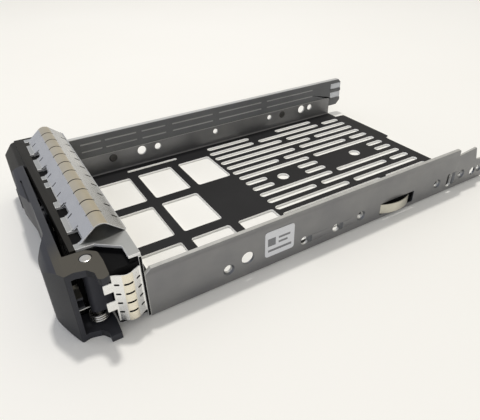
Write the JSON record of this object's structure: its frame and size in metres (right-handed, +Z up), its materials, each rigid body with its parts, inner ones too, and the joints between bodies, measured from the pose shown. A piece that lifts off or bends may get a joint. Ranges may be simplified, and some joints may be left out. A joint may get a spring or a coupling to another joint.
{
  "type": "hot swap drive caddy",
  "caption": "Low steel tray with slotted floor and a hinged-lever bezel that carries a hard drive into a server bay.",
  "frame": {"origin": "on the tray's underside, midway across its width and in the middle of its length, at the solid floor between two slot rows", "axes": "+X towards the side with the lever's hinge, +Y to the rear, away from the bezel's front, +Z up, away from the surface it rests on"},
  "size_m": [0.1114, 0.1994, 0.0322],
  "materials": {
    "tray_steel": "satin zinc-plated sheet",
    "shield_steel": "satin plated sheet",
    "spring_steel": "bright satin",
    "leaf_spring": "bright satin",
    "bezel_plastic": "fine matt",
    "lever_plastic": "fine matt",
    "carrier_plastic": "matt",
    "clear_plastic": "clear",
    "lens_plastic": "smoked gloss",
    "pin_steel": "bright",
    "rivet_steel": "dark",
    "label_paper": "satin"
  },
  "bodies": {
    "caddy": {"tray": "tray_steel", "rail_leaf_spring": "leaf_spring", "bezel_body": "bezel_plastic", "bezel_shield": "shield_steel", "top_contact_spring": "spring_steel", "side_contact_spring": "spring_steel", "lever_spring": "pin_steel", "light_pipe_carrier": "carrier_plastic", "light_pipe_upper": "clear_plastic", "light_pipe_lower": "clear_plastic", "status_lens_upper": "lens_plastic", "status_lens_lower": "lens_plastic", "carrier_rivets": "rivet_steel", "floor_rivets": "rivet_steel", "plain_label": "label_paper"},
    "lever": {"lever_handle": "lever_plastic", "lever_back_plate": "lever_plastic", "back_plate_screws": "pin_steel", "lever_pin": "pin_steel", "latch_spring": "pin_steel"},
    "button": {"release_button": "lever_plastic"},
    "latch": {"latch_slider": "carrier_plastic"}
  },
  "joints": [
    {"name": "lever_swing", "type": "hinge", "parent": "caddy", "child": "lever", "pos_m": [0.0453, -0.0977, 0.0135], "axis": [0, 0, 1], "range_deg": [0, 45]},
    {"name": "button_press", "type": "slide", "parent": "lever", "child": "button", "axis": [0, 1, 0], "range_m": [0, 0.0012], "stiffness_N_per_m": 600, "springref_m": -0.001},
    {"name": "latch_slide", "type": "slide", "parent": "lever", "child": "latch", "axis": [1, 0, 0], "range_m": [0, 0.0012], "deforming": ["latch_spring"]}
  ],
  "couplings": [
    {"joint": "latch_slide", "follows": "button_press", "ratio": 1}
  ]
}
